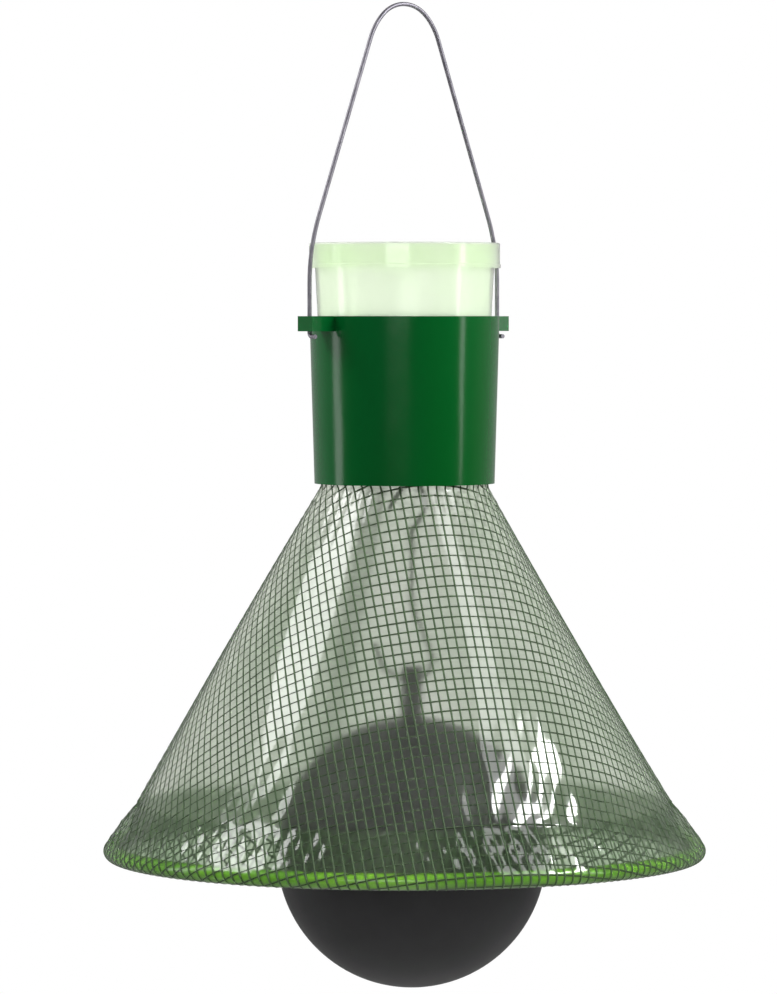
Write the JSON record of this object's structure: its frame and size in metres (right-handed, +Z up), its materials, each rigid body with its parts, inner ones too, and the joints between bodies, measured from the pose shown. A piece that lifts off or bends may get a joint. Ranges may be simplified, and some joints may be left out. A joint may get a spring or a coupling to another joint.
{
  "type": "hanging ball and cone insect trap",
  "caption": "Hanging insect trap: a green film cone on a hoop over a swinging black ball, with a lidded collecting jar on top and a wire bail.",
  "frame": {"origin": "centre of the wire at the top of the bail, where the trap hangs", "axes": "+Z up, +X along the line through the two ears, +Y across it"},
  "size_m": [0.4232, 0.4232, 0.689],
  "materials": {
    "galvanised_wire": "galvanised, satin",
    "pale_green_plastic": "translucent, semi-gloss",
    "dark_green_plastic": "moulded, glossy",
    "film": "clear green film with a woven grid",
    "seam_tape": "translucent tape",
    "hoop_green": "extruded tube, satin",
    "black_ball": "smooth, matt black",
    "steel_screws": "zinc plated",
    "strap_plastic": "black nylon"
  },
  "bodies": {
    "bail": {"bail_wire": "galvanised_wire"},
    "trap": {"collar": "dark_green_plastic", "collecting_jar": "pale_green_plastic", "entry_funnel": "pale_green_plastic", "neck_ring": "dark_green_plastic", "neck_screws": "steel_screws", "film_strap": "strap_plastic", "hanger_bar": "dark_green_plastic", "film_cone": "film", "film_seam": "seam_tape", "hoop_tube": "hoop_green", "hoop_plug": "hoop_green"},
    "lid": {"jar_lid": "pale_green_plastic"},
    "hanger": {"ball_hanger": "galvanised_wire"},
    "ball": {"ball_stem": "black_ball", "ball_shell": "black_ball"}
  },
  "joints": [
    {"name": "bail_swing", "type": "hinge", "parent": "bail", "child": "trap", "pos_m": [0, 0, -0.22295], "axis": [1, 0, 0], "range_deg": [-12, 12]},
    {"name": "lid_lift", "type": "slide", "parent": "trap", "child": "lid", "axis": [0, 0, 1], "range_m": [0, 0.026]},
    {"name": "hanger_swing", "type": "hinge", "parent": "trap", "child": "hanger", "pos_m": [0, 0, -0.322], "axis": [0, 1, 0], "range_deg": [-15, 15]},
    {"name": "ball_swing", "type": "hinge", "parent": "hanger", "child": "ball", "pos_m": [0, -0.0085, -0.47], "axis": [1, 0, 0], "range_deg": [-15, 15]}
  ]
}
